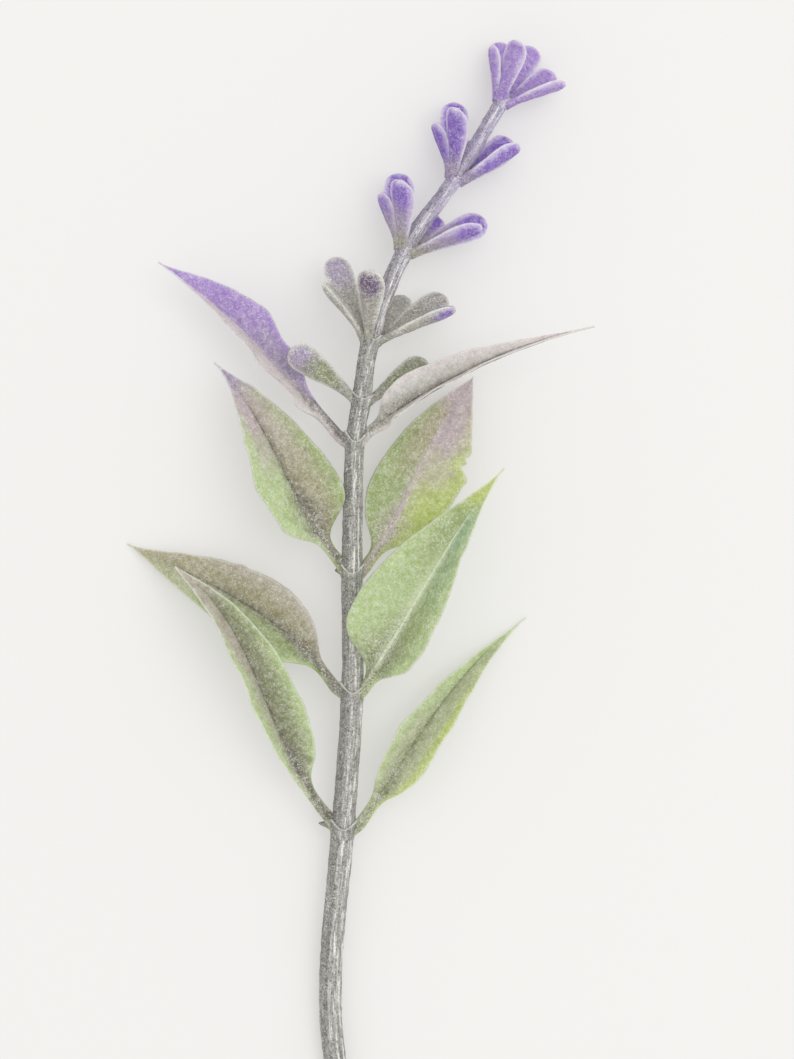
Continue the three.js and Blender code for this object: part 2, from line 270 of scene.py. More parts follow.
def length(name, description, default):
    """A length in metres, from a default in millimetres."""
    return FloatProperty(name=name, description=description, default=default * MM,
                         min=0.0, subtype="DISTANCE", unit="LENGTH", precision=5)


def colour(name, description, screen):
    """A colour, from screen values."""
    return FloatVectorProperty(name=name, description=description, default=tone(*screen),
                               min=0.0, max=1.0, size=3, subtype="COLOR")


class SpikeSizes(PropertyGroup):
    """Sizes of the mouldings that a maker may change."""

    stem_streak: length("Stem Streaks", "Depth of the streaks along the stem", 0.06)
    stem_lump: length("Stem Lumps", "Height of the uneven lumps on the stem", 0.07)
    mould_line: length("Mould Line", "Height of the parting line down both sides", 0.09)
    blade_rib: length("Blade at Rib", "Thickness of a leaf beside its midrib", 0.62)
    blade_margin: length("Blade at Margin", "Thickness of a leaf at its margin", 0.24)
    petiole_width: length("Leaf Stalk Width", "Width of a leaf's stalk", 1.7)
    petiole_depth: length("Leaf Stalk Depth", "Depth of a leaf's stalk", 1.4)
    vein_depth: length("Vein Depth", "Depth of a leaf's side veins", 0.04)
    margin_wave: length("Margin Wave", "Height of the waves along a leaf's margin", 0.45)
    bud_foot: length("Bud Foot", "Width of the foot of a bud", 1.45)
    bud_flange: length("Bud Flange", "Thickness of the thin rim round a bud", 0.4)
    collar_lip: length("Collar Lip", "Height of the lip on a collar's rim", 0.12)


class SpikeColours(PropertyGroup):
    """The paints that all the mouldings share."""

    frost: colour("Frost", "The dry frosting over every piece", (245, 245, 240))
    # Painted shade: the dark colour laid into the low pits between grains, where the bump sinks.
    pit: colour("Pits", "The dark bottoms between grains of frosting", (75, 73, 66))
    stem: colour("Stem", "The grey of the stem below the buds", (140, 138, 132))
    stem_high: colour("Upper Stem", "The stem between the upper whorls", (178, 166, 196))
    # Painted light: the glow of light through thin edges, laid on as a pale colour.
    rim: colour("Pale Rim", "The thin edges that let light through", (235, 235, 225))
    bark: colour("Bark", "Dark grey brown, for leaf feet and midribs", (108, 102, 86))
    moss: colour("Moss", "Grey green", (130, 136, 96))
    fern: colour("Fern", "Middle green", (145, 162, 98))
    seafoam: colour("Seafoam", "Cool blue green", (146, 174, 130))
    mint: colour("Mint", "Light green", (175, 194, 134))
    sage: colour("Sage", "Pale grey green", (174, 180, 143))
    lime: colour("Lime", "Yellow green", (180, 196, 98))
    olive: colour("Olive", "Brown green", (158, 152, 118))
    clay: colour("Clay", "Beige with some mauve", (175, 166, 152))
    rose: colour("Dusty Rose", "Greyed pink mauve", (185, 168, 172))
    ash: colour("Ash", "The pale grey of the thin rims of the lower buds", (200, 198, 192))
    cream: colour("Cream", "Pale yellow green", (215, 225, 190))
    blush: colour("Blush", "Pale pink beige", (210, 200, 200))
    slate: colour("Slate", "The grey of the lower buds", (156, 152, 142))
    heather: colour("Heather", "Greyed mauve", (158, 142, 172))
    violet: colour("Violet", "Middle violet", (158, 126, 196))
    grape: colour("Grape", "Deep violet", (128, 92, 186))
    plum: colour("Plum", "The dark spot on the front bud of the second whorl", (100, 75, 110))
    lilac: colour("Lilac", "Pale violet", (205, 190, 225))
    paper: colour("Surface", "The surface that the spike lies on", (245, 244, 242))


def paint(name):
    """A paint of the settings by its name."""
    return tuple(getattr(bpy.context.scene.spike_colours, name))


def size(name):
    """A size of the settings by its name, in mm."""
    return getattr(bpy.context.scene.spike_sizes, name) / MM


# --------------------------------------------------------------- curves along a piece
def unit(v):
    """Vectors made one long."""
    return v / np.linalg.norm(v, axis=-1, keepdims=True)


def smooth(x, low, high):
    """0 below low, 1 above high, and an even S between."""
    u = np.clip((np.asarray(x, float) - low) / (high - low), 0.0, 1.0)
    return u * u * (3 - 2 * u)


def lerp(a, b, t):
    """The mix of a and b by t."""
    return a + (b - a) * t


def bell(x, reach):
    """1 where x is 0, falling away on either side of it over reach."""
    return np.exp(-((x / reach) ** 2))


def run_along(line):
    """The length run at each point of a line."""
    return np.concatenate([[0], np.cumsum(np.linalg.norm(np.diff(line, axis=0), axis=1))])


STATION_POINTS = np.array([STATIONS[n][0] for n in STATION_NAMES])
STATION_RADII = np.array([STATIONS[n][1] for n in STATION_NAMES])
SPANS = len(STATION_NAMES) - 1


def stem_point(share):
    """The stem's middle at shares of the way through its stations."""
    share = np.atleast_1d(np.asarray(share, float))
    pts = np.vstack([2 * STATION_POINTS[0] - STATION_POINTS[1], STATION_POINTS,
                     2 * STATION_POINTS[-1] - STATION_POINTS[-2]])
    at = np.clip(share, 0, 1) * SPANS
    i = np.minimum(at.astype(int), SPANS - 1)
    w = (at - i)[:, None]
    p0, p1, p2, p3 = pts[i], pts[i + 1], pts[i + 2], pts[i + 3]
    d0, d1, d2 = (np.sqrt(np.linalg.norm(b - a, axis=1))[:, None]
                  for a, b in ((p0, p1), (p1, p2), (p2, p3)))
    m1 = ((p1 - p0) / d0 - (p2 - p0) / (d0 + d1) + (p2 - p1) / d1) * d1
    m2 = ((p2 - p1) / d1 - (p3 - p1) / (d1 + d2) + (p3 - p2) / d2) * d1
    return (p1 + m1 * w + (-3 * p1 + 3 * p2 - 2 * m1 - m2) * w ** 2
            + (2 * p1 - 2 * p2 + m1 + m2) * w ** 3)


def stem_heading(share):
    """The stem's direction at shares of the way through its stations."""
    share = np.atleast_1d(np.asarray(share, float))
    return unit(stem_point(np.minimum(share + 1e-4, 1)) - stem_point(np.maximum(share - 1e-4, 0)))


def stem_radius(share):
    """The stem's radius, away from its nodes."""
    return np.interp(np.asarray(share) * SPANS, np.arange(SPANS + 1), STATION_RADII)


def station(name):
    """A station's middle, heading and radius, and its share of the stem."""
    share = STATION_NAMES.index(name) / SPANS
    return stem_point(share)[0], stem_heading(share)[0], STATIONS[name][1], share


def cross_axes(heading):
    """The sideways and upward directions square to headings that are never upright."""
    right = unit(np.cross(heading, (0.0, 0.0, 1.0)))
    return right, np.cross(right, heading)


def spokes(right, up, turn):
    """The directions out of an axis at turns round it, counted from up to right."""
    return right[..., None, :] * np.sin(turn)[:, None] + up[..., None, :] * np.cos(turn)[:, None]


def squared(turn):
    """The stem's rounded square section, an edge on top, over its radius."""
    quarter = turn + math.pi / 4
    wide, deep = np.abs(np.cos(quarter)) ** SQUARENESS, np.abs(np.sin(quarter)) ** SQUARENESS
    return (wide + deep) ** (-1 / SQUARENESS) * 0.97


def painted_light_by_turn(turn):
    """Painted light round the stem, 0 on its left and 1 on its right: it darkens the left with painted shade
    and lets pale streaks show more on the lit right.
    """
    return smooth(np.sin(turn), -0.7, 0.2)


def rough(points, size, octaves=3, seed=0.0):
    """Smooth noise of about -1 to 1 at points in mm, its features about size mm wide."""
    flat = points.reshape(-1, 3) / size
    out = np.empty(len(flat))
    shift = Vector((seed * 7.31, seed * 3.17 + 11.0, seed * 5.53 - 4.0))
    for k, p in enumerate(flat):
        out[k] = noise.fractal(Vector(p) + shift, 0.9, 2.0, octaves)
    return out.reshape(points.shape[:-1])


def wander(x, size, seed=0.0):
    """Smooth noise of about -1 to 1 along one line of positions in mm."""
    x = np.atleast_1d(x)
    line = np.zeros((len(x), 3))
    line[:, 0] = x
    return rough(line, size, 2, seed)


# -------------------------------------------------------------------- making a piece
def make_piece(name, node, grid, masks, sweep, material, ring=False):
    """One closed piece from a grid of points in mm, its rows along it and its columns
    round it. Its ends are closed with a point, or its last row meets its first."""
    rows, cols = grid.shape[:2]
    points = grid.reshape(-1, 3)
    r = np.arange(rows if ring else rows - 1)
    c = np.arange(cols)
    r2 = (r + 1) % rows
    c2 = (c + 1) % cols
    a = (r[:, None] * cols + c).ravel()
    b = (r[:, None] * cols + c2).ravel()
    d = (r2[:, None] * cols + c2).ravel()
    e = (r2[:, None] * cols + c).ravel()
    faces = [tuple(q) for q in np.stack([a, b, d, e], 1).tolist()]
    extra = {key: value.ravel() for key, value in masks.items()}
    sweep = sweep.reshape(-1, 2)
    if not ring:
        low, high = len(points), len(points) + 1
        points = np.vstack([points, grid[0].mean(0), grid[-1].mean(0)])
        last = (rows - 1) * cols
        faces += [(low, int(j), int(i)) for i, j in zip(c, c2)]
        faces += [(high, int(last + i), int(last + j)) for i, j in zip(c, c2)]
        extra = {key: np.append(value, (value[:cols].mean(), value[-cols:].mean()))
                 for key, value in extra.items()}
        sweep = np.vstack([sweep, sweep[:cols].mean(0), sweep[-cols:].mean(0)])
    low_box, high_box = (np.array(corner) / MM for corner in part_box(node))
    if (points.min(0) < low_box - STRAY).any() or (points.max(0) > high_box + STRAY).any():
        raise RuntimeError(f"{name} strays from {node}: {points.min(0)} {points.max(0)} "
                           f"against {low_box} {high_box}")
    mesh = bpy.data.meshes.new(name)
    mesh.from_pydata((points * MM).tolist(), [], faces)
    mesh.validate()
    mesh.polygons.foreach_set("use_smooth", [True] * len(mesh.polygons))
    for key, value in extra.items():
        layer = mesh.attributes.new(key, "FLOAT", "POINT")
        layer.data.foreach_set("value", value.astype(np.float32))
    uv = mesh.uv_layers.new(name="Sweep")
    corner = np.empty(len(mesh.loops), dtype=np.int32)
    mesh.loops.foreach_get("vertex_index", corner)
    uv.data.foreach_set("uv", sweep[corner].astype(np.float32).ravel())
    mesh.materials.append(material)
    piece = bpy.data.objects.new(name, mesh)
    bpy.context.scene.collection.objects.link(piece)
    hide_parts(node)
    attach(piece, BODY)


# ------------------------------------------------------------------ building shaders
class Graph:
    """Adds nodes to a tree and joins them, so that a shader reads as arithmetic."""

    def __init__(self, tree):
        self.tree = tree

    def node(self, kind, **settings):
        made = self.tree.nodes.new(kind)
        for key, value in settings.items():
            setattr(made, key, value)
        return made

    def feed(self, socket, value):
        if isinstance(value, bpy.types.NodeSocket):
            self.tree.links.new(value, socket)
        elif value is not None:
            if hasattr(value, "__len__") and len(value) == 3 and socket.type == "RGBA":
                value = (*value, 1.0)
            socket.default_value = value

    def math(self, operation, a, b=None, c=None, clamp=False):
        made = self.node("ShaderNodeMath", operation=operation, use_clamp=clamp)
        for socket, value in zip(made.inputs, (a, b, c)):
            self.feed(socket, value)
        return made.outputs[0]

    def times(self, a, b, clamp=False):
        return self.math("MULTIPLY", a, b, clamp=clamp)

    def plus(self, a, b):
        return self.math("ADD", a, b)

    def less(self, a, b):
        return self.math("SUBTRACT", a, b)

    def scaled(self, vector, by):
        made = self.node("ShaderNodeVectorMath", operation="SCALE")
        self.feed(made.inputs[0], vector)
        self.feed(made.inputs["Scale"], by)
        return made.outputs[0]

    def mix(self, factor, a, b):
        made = self.node("ShaderNodeMix", data_type="RGBA")
        made.clamp_factor = True
        self.feed(made.inputs[0], factor)
        self.feed(made.inputs[6], a)
        self.feed(made.inputs[7], b)
        return made.outputs[2]

    def step(self, value, low, high, out_low=0.0, out_high=1.0):
        made = self.node("ShaderNodeMapRange", interpolation_type="SMOOTHSTEP")
        self.feed(made.inputs["Value"], value)
        self.feed(made.inputs["From Min"], low)
        self.feed(made.inputs["From Max"], high)
        self.feed(made.inputs["To Min"], out_low)
        self.feed(made.inputs["To Max"], out_high)
        return made.outputs["Result"]

    def mask(self, name):
        return self.node("ShaderNodeAttribute", attribute_name=name).outputs["Fac"]

    def place(self):
        """The place on the piece in mm."""
        return self.scaled(self.node("ShaderNodeTexCoord").outputs["Object"], 1 / MM)

    def cloud(self, where, scale, detail=3.0, roughness=0.6):
        made = self.node("ShaderNodeTexNoise")
        self.feed(made.inputs["Vector"], where)
        self.feed(made.inputs["Scale"], scale)
        made.inputs["Detail"].default_value = detail
        made.inputs["Roughness"].default_value = roughness
        return made.outputs["Fac"]


def new_group(name, inputs, outputs):
    """A shader node group, its input and output nodes, and a graph to fill it with."""
    group = bpy.data.node_groups.new(name, "ShaderNodeTree")
    kinds = {"colour": "NodeSocketColor", "value": "NodeSocketFloat", "place": "NodeSocketVector"}
    for label, kind in inputs:
        group.interface.new_socket(name=label, in_out="INPUT", socket_type=kinds[kind])
    for label, kind in outputs:
        group.interface.new_socket(name=label, in_out="OUTPUT", socket_type=kinds[kind])
    graph = Graph(group)
    return group, graph, graph.node("NodeGroupInput").outputs, graph.node("NodeGroupOutput").inputs


def frost_group():
    """Dry frosting: pale grains, with painted shade in the low pits between them, over a colour, thicker in
    patches.
    """
    if "Chalk Frost" in bpy.data.node_groups:
        return bpy.data.node_groups["Chalk Frost"]
    group, g, given, out = new_group(
        "Chalk Frost",
        (("Color", "colour"), ("Frost", "colour"), ("Pit", "colour"), ("Amount", "value"),
         ("Pits", "value"), ("Haze", "value")),
        (("Color", "colour"), ("Height", "value"), ("Roughness", "value")),
    )
    where = g.place()
    # The grains are cells pushed out of shape by a small noise, so none is round.
    push = g.node("ShaderNodeTexNoise")
    g.feed(push.inputs["Vector"], where)
    push.inputs["Scale"].default_value = 3.1
    push.inputs["Detail"].default_value = 3.0
    pushed = g.node("ShaderNodeVectorMath", operation="MULTIPLY_ADD")
    g.feed(pushed.inputs[0], push.outputs["Color"])
    pushed.inputs[1].default_value = (0.5, 0.5, 0.5)
    g.feed(pushed.inputs[2], where)
    patch = g.step(g.cloud(where, 0.5, 5.0, 0.7), 0.34, 0.68)
    fine = g.cloud(where, 3.0, 3.0, 0.75)
    dust = g.cloud(where, 1.1, 5.0, 0.8)
    grains = g.node("ShaderNodeTexVoronoi", feature="F1")
    g.feed(grains.inputs["Vector"], pushed.outputs[0])
    grains.inputs["Scale"].default_value = 5.6
    pick = g.node("ShaderNodeSeparateColor")
    g.feed(pick.inputs[0], grains.outputs["Color"])
    reach = g.times(given["Amount"], g.step(patch, 0.0, 1.0, 0.4, 1.5))
    size = g.math("MULTIPLY_ADD", pick.outputs[1], 0.3, 0.3)
    body = g.step(g.math("DIVIDE", grains.outputs["Distance"], size), 1.0, 0.45)
    chosen = g.step(g.less(reach, pick.outputs[0]), -0.06, 0.12)
    crumbs = g.times(g.step(fine, 0.53, 0.66), reach)
    pale = g.times(body, chosen)
    pale = g.math("MAXIMUM", pale, g.times(crumbs, 1.5, clamp=True))
    # The pits, where the bump is lowest, are darkened with painted shade.
    dark = g.times(g.step(fine, 0.47, 0.33), given["Pits"])
    dusty = g.times(g.step(dust, 0.4, 0.66), given["Haze"])
    hazed = g.mix(dusty, given["Color"], given["Frost"])
    pitted = g.mix(dark, hazed, given["Pit"])
    g.feed(out["Color"], g.mix(g.times(pale, 0.72), pitted, given["Frost"]))
    g.feed(out["Height"], g.plus(g.times(pale, 0.5), g.times(fine, 0.8)))
    g.feed(out["Roughness"], g.step(pale, 0.0, 1.0, 0.6, 0.95))
    return group


def finish_material(name, build, relief=0.07, scatter=0.0, scatter_depth=0.6):
    """A moulded plastic: build returns its colour, the grain's height and its roughness."""
    material = bpy.data.materials.new(name)
    material.use_nodes = True
    tree = material.node_tree
    tree.nodes.clear()
    g = Graph(tree)
    shader = g.node("ShaderNodeBsdfPrincipled")
    output = g.node("ShaderNodeOutputMaterial")
    colour_out, height, dryness = build(g)
    g.feed(shader.inputs["Base Color"], colour_out)
    g.feed(shader.inputs["Roughness"], dryness)
    bump = g.node("ShaderNodeBump")
    bump.inputs["Strength"].default_value = 0.7
    bump.inputs["Distance"].default_value = relief * MM
    g.feed(bump.inputs["Height"], height)
    g.feed(shader.inputs["Normal"], bump.outputs["Normal"])
    shader.inputs["Specular IOR Level"].default_value = 0.3
    shader.inputs["Subsurface Weight"].default_value = scatter
    shader.inputs["Subsurface Radius"].default_value = (1.0, 1.0, 0.8)
    shader.inputs["Subsurface Scale"].default_value = scatter_depth * MM
    g.feed(output.inputs["Surface"], shader.outputs["BSDF"])
    return material


def frosted(g, colour_in, amount, pits, haze):
    """The shared frosting, placed in a material with its own strengths."""
    made = g.node("ShaderNodeGroup", node_tree=frost_group())
    values = (colour_in, paint("frost"), paint("pit"), amount, pits, haze)
    for label, value in zip(("Color", "Frost", "Pit", "Amount", "Pits", "Haze"), values):
        g.feed(made.inputs[label], value)
    return made.outputs


def stem_paint_group():
    """The stem's grey that turns violet up the spike, with pale and dark streaks along it, and painted light:
    painted shade on its left side, more pale streaks on its lit right.
    """
    if "Stem Paint" in bpy.data.node_groups:
        return bpy.data.node_groups["Stem Paint"]
    group, g, given, out = new_group(
        "Stem Paint",
        (("Low", "colour"), ("High", "colour"), ("Frost", "colour"), ("Streaks", "value")),
        (("Color", "colour"), ("Streak", "value")),
    )
    where = g.place()
    uneven = g.times(g.less(g.cloud(where, 0.2), 0.5), 0.1)
    spike = g.plus(g.mask("spike"), uneven)
    base = g.mix(g.step(spike, 0.72, 0.92), given["Low"], given["High"])
    sweep = g.node("ShaderNodeUVMap", uv_map="Sweep").outputs[0]
    stretch = g.node("ShaderNodeVectorMath", operation="MULTIPLY")
    g.feed(stretch.inputs[0], sweep)
    stretch.inputs[1].default_value = (1.3, 0.09, 1.0)
    streak = g.cloud(stretch.outputs[0], 1.5, 5.0, 0.75)
    # Painted light: this mask is 0 on the stem's left and 1 on its right, so more pale streaks show on the
    # lit right.
    dusted = g.step(g.mask("dusted"), 0.0, 1.0, 0.25, 1.0)
    blotch = g.cloud(where, 0.55, 4.0, 0.7)
    pale = g.times(g.times(g.step(streak, 0.5, 0.6), given["Streaks"]), dusted)
    base = g.mix(pale, base, given["Frost"])
    shade = g.times(g.step(streak, 0.3, 0.5, 0.62, 1.0), g.step(blotch, 0.3, 0.55, 0.78, 1.06))
    # Painted shade darkens the stem's left side, and the lit right is a little brighter.
    shade = g.times(shade, g.step(dusted, 0.25, 1.0, 0.75, 1.05))
    g.feed(out["Color"], g.scaled(base, shade))
    g.feed(out["Streak"], streak)
    return group


def stem_material(name, streaks=0.85, frost=0.5):
    """The finish of the stem and the collars."""

    def build(g):
        made = g.node("ShaderNodeGroup", node_tree=stem_paint_group())
        g.feed(made.inputs["Low"], paint("stem"))
        g.feed(made.inputs["High"], paint("stem_high"))
        g.feed(made.inputs["Frost"], paint("frost"))
        g.feed(made.inputs["Streaks"], streaks)
        # The rim mask lays on the painted glow of light through thin edges.
        edge = g.mix(g.times(g.mask("rim"), 0.7), made.outputs["Color"], paint("rim"))
        rime = frosted(g, edge, frost, 0.7, 0.2)
        height = g.plus(rime["Height"], g.times(made.outputs["Streak"], 0.8))
        return rime["Color"], height, rime["Roughness"]

    return finish_material(name, build, relief=0.12)


def leaf_paint_group():
    """A leaf's colours by where they lie: foot, two halves, margins, tip and midrib."""
    if "Leaf Paint" in bpy.data.node_groups:
        return bpy.data.node_groups["Leaf Paint"]
    group, g, given, out = new_group(
        "Leaf Paint",
        tuple((zone, "colour") for zone in LEAF_ZONES),
        (("Color", "colour"), ("Grey", "value")),
    )
    where = g.place()
    broad = g.less(g.cloud(where, 0.16, 3.0), 0.5)
    blotch = g.less(g.cloud(where, 0.5, 5.0, 0.7), 0.5)
    mottle = g.less(g.cloud(where, 1.6, 4.0, 0.75), 0.5)
    along = g.plus(g.mask("along"), g.times(broad, 0.35))
    across = g.plus(g.mask("across"), g.times(blotch, 0.1))
    off = g.math("ABSOLUTE", across)
    rise = g.step(along, 0.3, 0.72)
    left = g.mix(rise, given["Left Low"], given["Left High"])
    right = g.mix(rise, given["Right Low"], given["Right High"])
    base = g.mix(g.step(across, -0.08, 0.08), left, right)
    margin = g.mix(g.step(across, -0.1, 0.1), given["Left Margin"], given["Right Margin"])
    edge = g.step(g.plus(off, g.times(blotch, 0.5)), 0.4, 1.0)
    base = g.mix(g.times(edge, g.step(along, 0.85, 0.5, 0.3, 1.0)), base, margin)
    base = g.mix(g.step(along, 0.72, 0.95), base, given["Tip"])
    low = g.plus(along, g.times(off, 0.35))
    grey = g.step(g.plus(low, g.times(blotch, 0.3)), 0.48, 0.1)
    base = g.mix(grey, base, given["Foot"])
    # Dry patches of the foot's colour lie over the blade, thickest near the midrib.
    patch = g.times(g.step(g.plus(blotch, g.times(mottle, 0.5)), 0.02, 0.2),
                   g.step(off, 0.95, 0.1, 0.08, 0.5))
    base = g.mix(g.times(patch, g.step(along, 0.95, 0.5)), base, given["Foot"])
    # The colour of the midrib spreads beside it in an uneven stain.
    stain = g.step(g.plus(off, g.times(blotch, 0.5)), 0.28, 0.0, 0.0, 0.5)
    base = g.mix(g.times(stain, g.step(along, 0.9, 0.4)), base, given["Rib"])
    base = g.mix(g.step(g.mask("rib"), 0.4, 1.0, 0.0, 0.85), base, given["Rib"])
    base = g.mix(g.times(g.mask("vein"), 0.14), base, given["Rib"])
    uneven = g.plus(g.times(blotch, 0.6), g.times(mottle, 0.5))
    g.feed(out["Color"], g.scaled(base, g.plus(1.0, uneven)))
    g.feed(out["Grey"], grey)
    return group


def leaf_material(name):
    """The finish of one leaf."""

    def build(g):
        made = g.node("ShaderNodeGroup", node_tree=leaf_paint_group())
        for zone, paint_name in zip(LEAF_ZONES, LEAF_PAINTS[name]):
            g.feed(made.inputs[zone], paint(paint_name))
        # The rim mask lays on the painted glow of light through the thin margins.
        edge = g.mix(g.times(g.mask("rim"), 0.6), made.outputs["Color"], paint("rim"))
        amount = g.step(made.outputs["Grey"], 0.0, 1.0, 0.26, 0.5)
        # The painted shade in the pits is strongest at the grey foot.
        pits = g.step(made.outputs["Grey"], 0.0, 1.0, 0.22, 0.7)
        rime = frosted(g, edge, amount, pits, 0.25)
        return rime["Color"], rime["Height"], rime["Roughness"]

    return finish_material(name, build, relief=0.06, scatter=0.1, scatter_depth=0.6)


def bud_paint_group():
    """A bud's colours: its grey foot, its core, its thin flange and its head."""
    if "Bud Paint" in bpy.data.node_groups:
        return bpy.data.node_groups["Bud Paint"]
    group, g, given, out = new_group(
        "Bud Paint",
        tuple((zone, "colour") for zone in BUD_ZONES) + (("Violet", "value"), ("Start", "value")),
        (("Color", "colour"), ("Grey", "value")),
    )
    where = g.place()
    blotch = g.less(g.cloud(where, 0.8, 5.0, 0.7), 0.5)
    mottle = g.less(g.cloud(where, 2.2, 4.0, 0.75), 0.5)
    along = g.plus(g.mask("along"), g.times(blotch, 0.4))
    off = g.plus(g.math("ABSOLUTE", g.mask("across")), g.times(blotch, 0.5))
    base = g.mix(g.step(along, 0.12, 0.5), given["Foot"], given["Core"])
    full = g.plus(given["Start"], 0.3)
    head = g.times(g.step(along, given["Start"], full), given["Violet"], clamp=True)
    base = g.mix(head, base, given["Head"])
    flange = g.times(g.step(off, 0.5, 0.95), g.step(along, 0.1, 0.45))
    brow = g.step(g.plus(g.mask("brow"), g.times(blotch, 0.4)), 0.45, 1.0, 0.0, 0.75)
    base = g.mix(g.times(g.math("MAXIMUM", flange, brow), 0.85), base, given["Flange"])
    uneven = g.plus(g.times(blotch, 0.35), g.times(mottle, 0.35))
    g.feed(out["Color"], g.scaled(base, g.plus(1.0, uneven)))
    g.feed(out["Grey"], g.step(along, 0.6, 0.1))
    return group


def bud_material(name, whorl):
    """The finish of one bud."""

    def build(g):
        made = g.node("ShaderNodeGroup", node_tree=bud_paint_group())
        for zone, paint_name in zip(BUD_ZONES, BUD_PAINTS[whorl]):
            g.feed(made.inputs[zone], paint(paint_name))
        if name in OTHER_HEADS:
            g.feed(made.inputs["Head"], paint(OTHER_HEADS[name][0]))
        g.feed(made.inputs["Start"], OTHER_HEADS.get(name, (None, HEAD_START))[1])
        g.feed(made.inputs["Violet"], VIOLET_HEADS.get(name, 1.0))
        # The rim mask lays on the painted glow of light through the bud's thin edges.
        edge = g.mix(g.times(g.mask("rim"), 0.5), made.outputs["Color"], paint("rim"))
        dry = 0.45 if whorl < 3 else 0.2
        amount = g.step(made.outputs["Grey"], 0.0, 1.0, dry, 0.36)
        # The painted shade in the pits is strongest at the grey foot.
        pits = g.step(made.outputs["Grey"], 0.0, 1.0, dry, 0.7)
        rime = frosted(g, edge, amount, pits, 0.2)
        return rime["Color"], rime["Height"], rime["Roughness"]

    return finish_material(name, build, relief=0.06, scatter=0.12, scatter_depth=0.6)


# ------------------------------------------------------------------------- the stem
class SPIKE_OT_stem(Operator):
    """Build the bent stem with its streaks, mould line and cut end"""

    bl_idname = "spike.build_stem"
    bl_label = "Build Stem"

    def execute(self, context):
        sides, sections = 64, 1000
        dense = np.linspace(0, 1, 6001)
        run = run_along(stem_point(dense))
        share = np.interp(np.linspace(0, run[-1], sections), run, dense)
        along = np.interp(share, dense, run)
        middle, heading = stem_point(share), stem_heading(share)
        right, up = cross_axes(heading)
        turn = np.arange(sides) * 2 * math.pi / sides
        radius = stem_radius(share)
        for name in STATION_NAMES[3:12]:
            node = np.interp(station(name)[3], dense, run)
            radius = radius + 0.1 * bell(along - node, 1.8)
        twist = 0.22 * wander(along, 34.0, 3.0)
        spun = turn + twist[:, None]
        base = radius[:, None] * squared(spun)
        out = spokes(right, up, turn)
        skin = middle[:, None, :] + out * base[..., None]
        fibre = np.stack([np.cos(spun) * 3.2, np.sin(spun) * 3.2,
                          np.broadcast_to(along[:, None] * 0.14, spun.shape)], -1)
        base = base + rough(fibre, 1.0, 3, 1.0) * size("stem_streak")
        base = base + rough(skin, 1.3, 3, 2.0) * size("stem_lump")
        side = np.minimum(np.abs(np.sin((spun - math.pi / 2) / 2)),
                          np.abs(np.sin((spun + math.pi / 2) / 2)))
        base = base + size("mould_line") * bell(side * 2, 0.09)
        skin = middle[:, None, :] + out * base[..., None]
        skin[..., 2] = np.maximum(skin[..., 2], FLOOR)
        # The cut end is closed with smaller rings, set in a little and left rough.
        ends = []
        for shrink, inset in ((0.15, 0.14), (0.45, 0.16), (0.8, 0.1), (0.95, 0.0)):
            ring = middle[0] + out[0] * (base[0] * shrink)[:, None] + heading[0] * inset
            ends.append(ring + heading[0] * (rough(ring, 0.7, 2, 5.0) * 0.05)[:, None])
        skin = np.concatenate([np.array(ends), skin])
        grow = np.concatenate([np.full(len(ends), along[0]), along])
        shape = (len(grow), sides)
        # One mask paints light on the stem's right side and shade on its left.
        masks = {
            "spike": np.broadcast_to((grow / run[-1])[:, None], shape),
            "dusted": np.broadcast_to(painted_light_by_turn(turn), shape),
            "rim": np.zeros(shape),
        }
        around = np.broadcast_to((turn * 1.6), shape)
        sweep = np.stack([around, np.broadcast_to(grow[:, None], shape)], -1)
        make_piece("look_stem", "stem", skin, masks, sweep, stem_material("stem_frosted"))
        return {"FINISHED"}


# ---------------------------------------------------------------------- the collars
# Nubs of flash left on a collar: where round it, in radians from the top to the right,
# how far up from its station, and how far out.
NUBS = {
    "leaf_collar_1": (-1.75, 0.3, 1.9),
    "leaf_collar_2": (-1.7, 0.2, 1.1),
    "leaf_collar_3": (-1.9, 0.3, 1.0),
    "leaf_collar_4": (-1.7, 0.5, 0.6),
}


